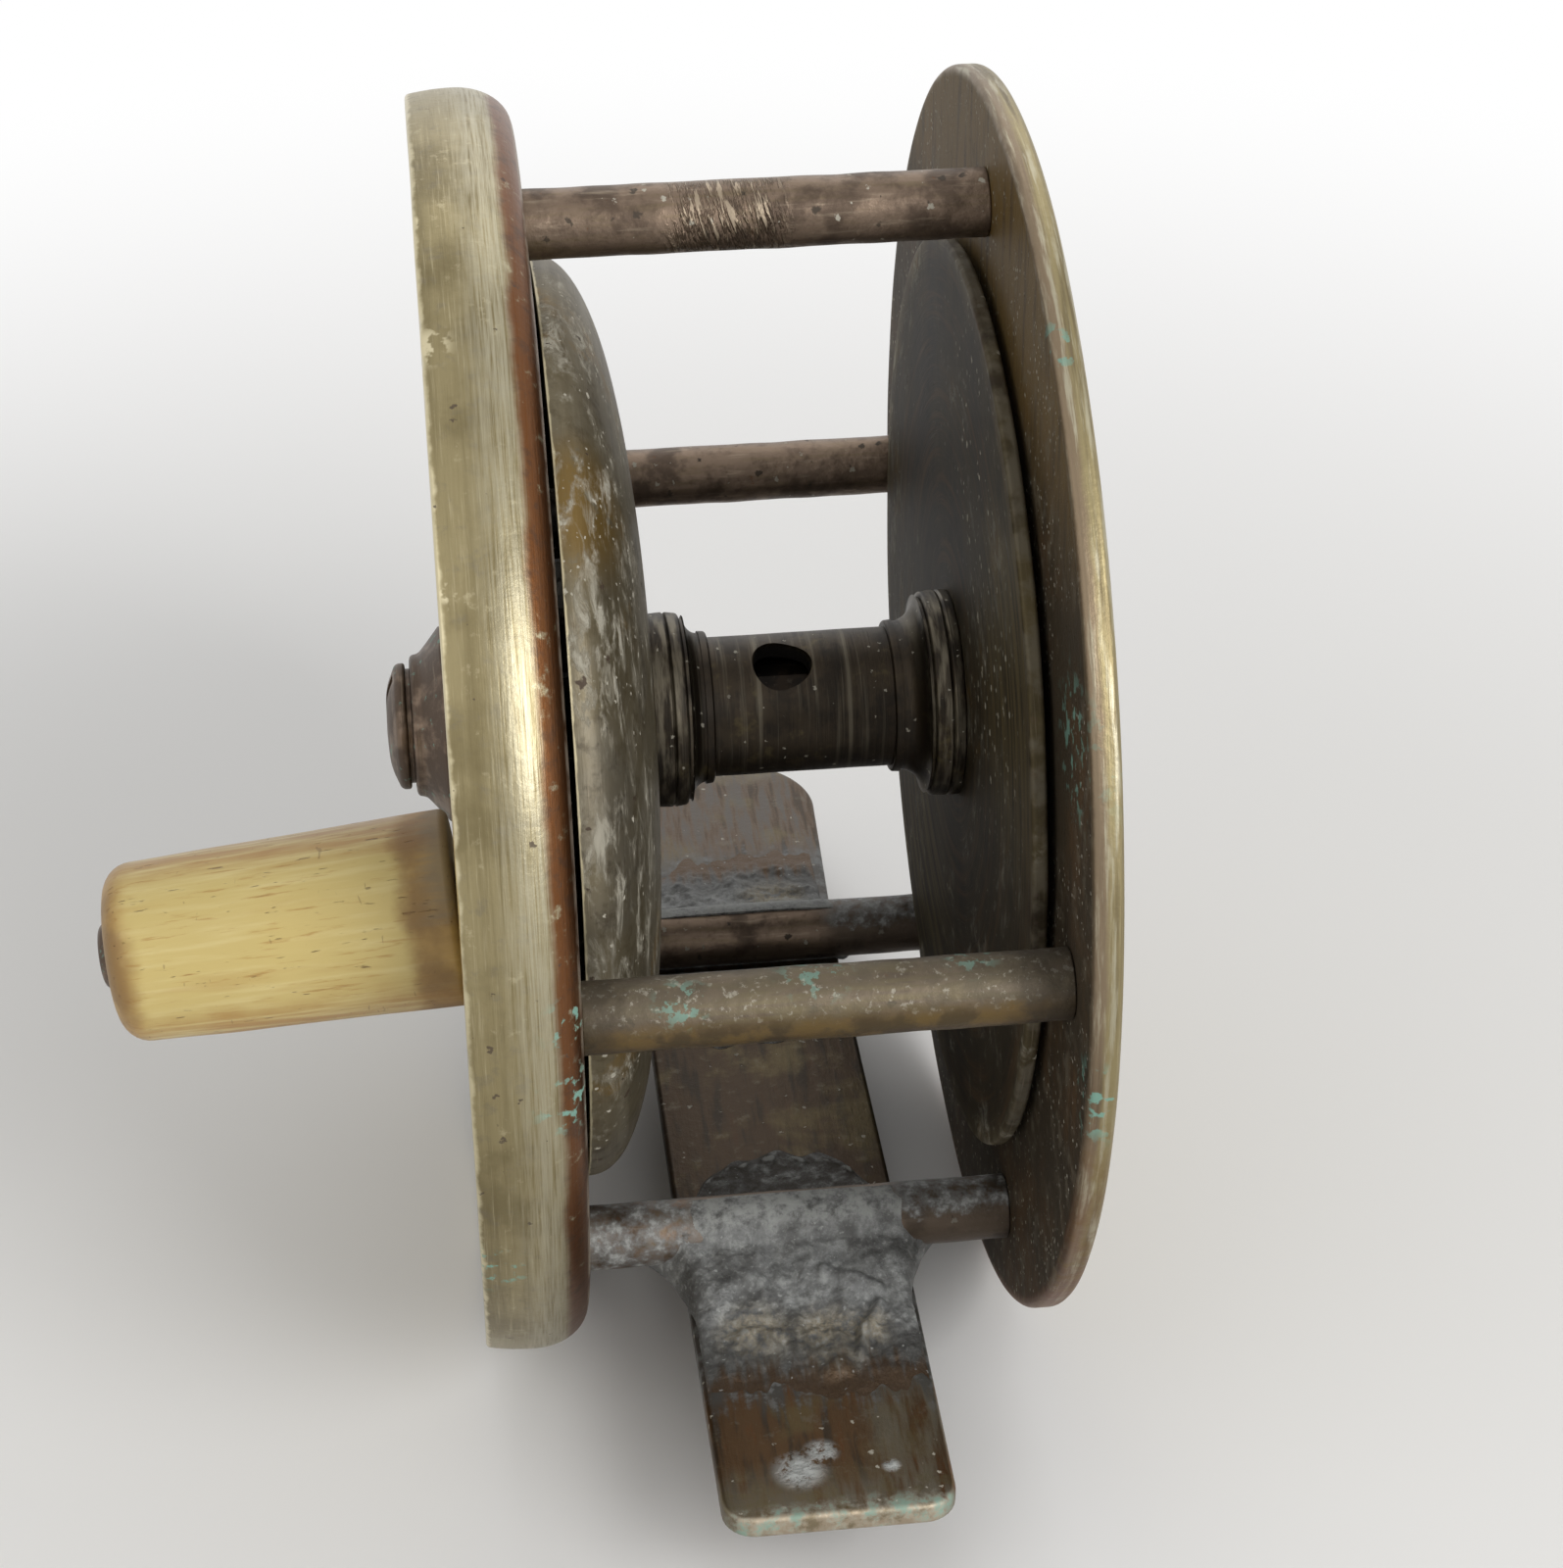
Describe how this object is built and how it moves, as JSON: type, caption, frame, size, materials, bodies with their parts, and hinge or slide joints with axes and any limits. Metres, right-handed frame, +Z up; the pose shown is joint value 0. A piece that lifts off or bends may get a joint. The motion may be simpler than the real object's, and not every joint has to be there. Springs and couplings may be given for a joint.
{
  "type": "fly fishing reel",
  "caption": "Narrow brass fishing reel with a dished front plate, round pillars, a domed spool flange, a flat foot for a rod and a bone handle on its winding plate.",
  "frame": {"origin": "on the underside of the foot, half way between the plates and straight below the spindle", "axes": "+Z up from the foot to the spindle, +X along the spindle from the handle side to the back plate, Y along the foot with its filed end at -Y"},
  "size_m": [0.0569, 0.0829, 0.0762],
  "materials": {
    "dish_brass": "aged olive-gold brass with a brushed grain and a red-brown shoulder",
    "plate_brass": "dark brown tarnish on the face, paler worn edge",
    "spool_brass": "grey-brown tarnish with pale residue",
    "pillar_bronze": "brown tarnish with fine scratches",
    "foot_brass": "red-brown tarnish, bright at the filed end",
    "solder": "dull grey lead solder with white bloom",
    "bearing_brass": "dull brass",
    "steel": "old steel",
    "bone": "yellowed bone with a lengthwise grain and dark pores"
  },
  "bodies": {
    "frame": {"front_plate": "dish_brass", "back_plate": "plate_brass", "top_pillar": "pillar_bronze", "near_pillar": "pillar_bronze", "far_pillar": "pillar_bronze", "near_foot_pillar": "pillar_bronze", "far_foot_pillar": "pillar_bronze", "top_pillar_screw": "pillar_bronze", "near_pillar_screw": "pillar_bronze", "far_pillar_screw": "pillar_bronze", "near_foot_pillar_screw": "pillar_bronze", "far_foot_pillar_screw": "pillar_bronze", "reel_foot": "foot_brass", "near_foot_solder": "solder", "far_foot_solder": "solder", "front_bearing": "bearing_brass", "back_bearing": "bearing_brass", "pawl_stud": "steel", "spring_post": "steel", "check_spring": "steel"},
    "spool": {"spindle": "steel", "front_flange": "spool_brass", "back_flange": "spool_brass", "barrel": "spool_brass", "front_collar": "spool_brass", "back_collar": "spool_brass", "check_wheel": "bearing_brass", "winding_plate": "dish_brass", "winder_boss": "pillar_bronze", "spindle_screw": "pillar_bronze", "handle_pin": "pillar_bronze"},
    "handle": {"handle_knob": "bone"},
    "pawl": {"check_pawl": "steel"}
  },
  "joints": [
    {"name": "spool_spin", "type": "hinge", "parent": "frame", "child": "spool", "pos_m": [0, 0, 0.03159], "axis": [1, 0, 0], "continuous": true},
    {"name": "handle_spin", "type": "hinge", "parent": "spool", "child": "handle", "pos_m": [-0.0182, -0.02575, 0.03516], "axis": [-0.9962, 0, -0.0872], "continuous": true},
    {"name": "pawl_rock", "type": "hinge", "parent": "frame", "child": "pawl", "pos_m": [0, 0.011, 0.03959], "axis": [-1, 0, 0], "range_deg": [0, 12], "stiffness_Nm_per_rad": 0.001, "springref_deg": -17.19, "deforming": ["check_spring"]}
  ]
}
